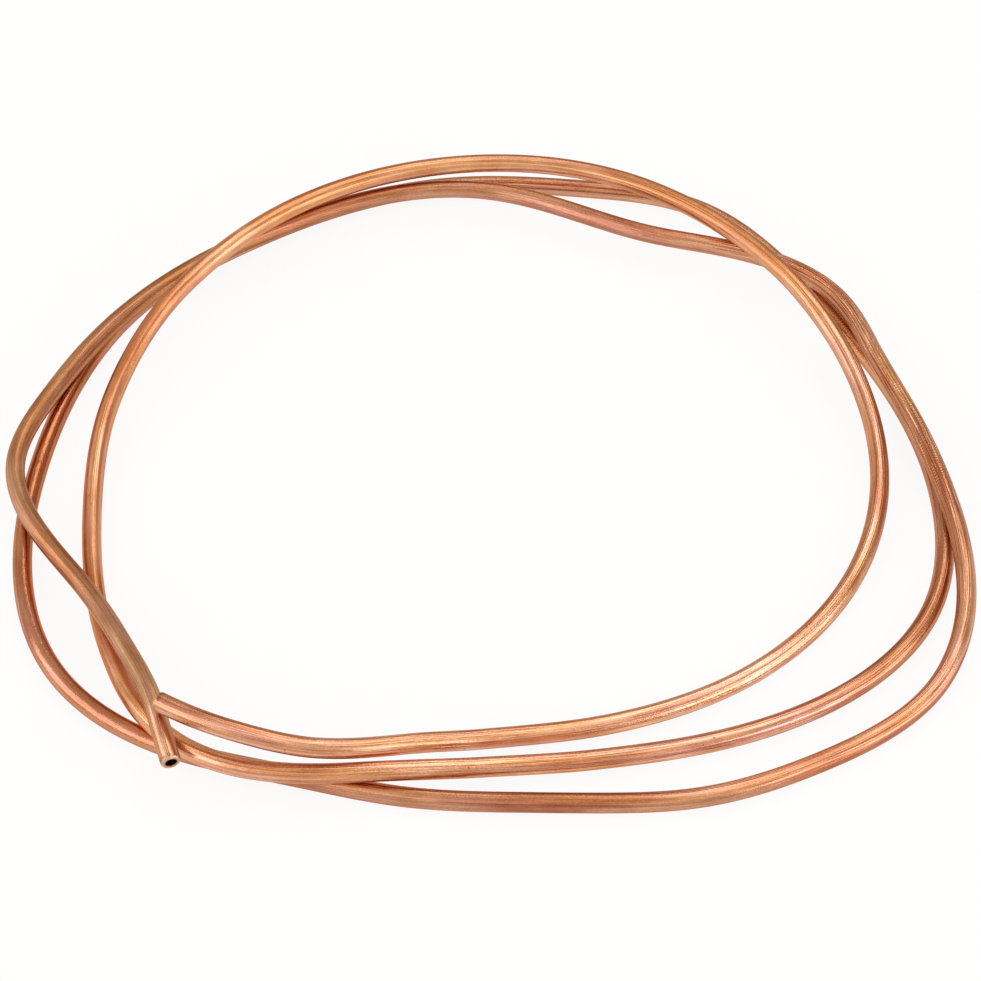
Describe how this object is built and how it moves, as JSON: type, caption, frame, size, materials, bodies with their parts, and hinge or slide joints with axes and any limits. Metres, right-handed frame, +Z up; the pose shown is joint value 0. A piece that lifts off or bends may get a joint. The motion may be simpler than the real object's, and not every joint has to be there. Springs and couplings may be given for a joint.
{
  "type": "copper tube coil",
  "caption": "Length of soft annealed round copper tube, open at both cut ends, wound by hand into a loose flat coil that lies on the floor.",
  "frame": {"origin": "middle of the coil's footprint, on the floor it lies on", "axes": "+Z up out of the flat coil, +X along its longest width, the two cut ends at the -X -Y corner"},
  "size_m": [0.2366, 0.2194, 0.0206],
  "materials": {
    "copper": "satin, drawn and annealed, lightly tarnished"
  },
  "bodies": {
    "root": {"copper_tube": "copper"}
  },
  "joints": []
}
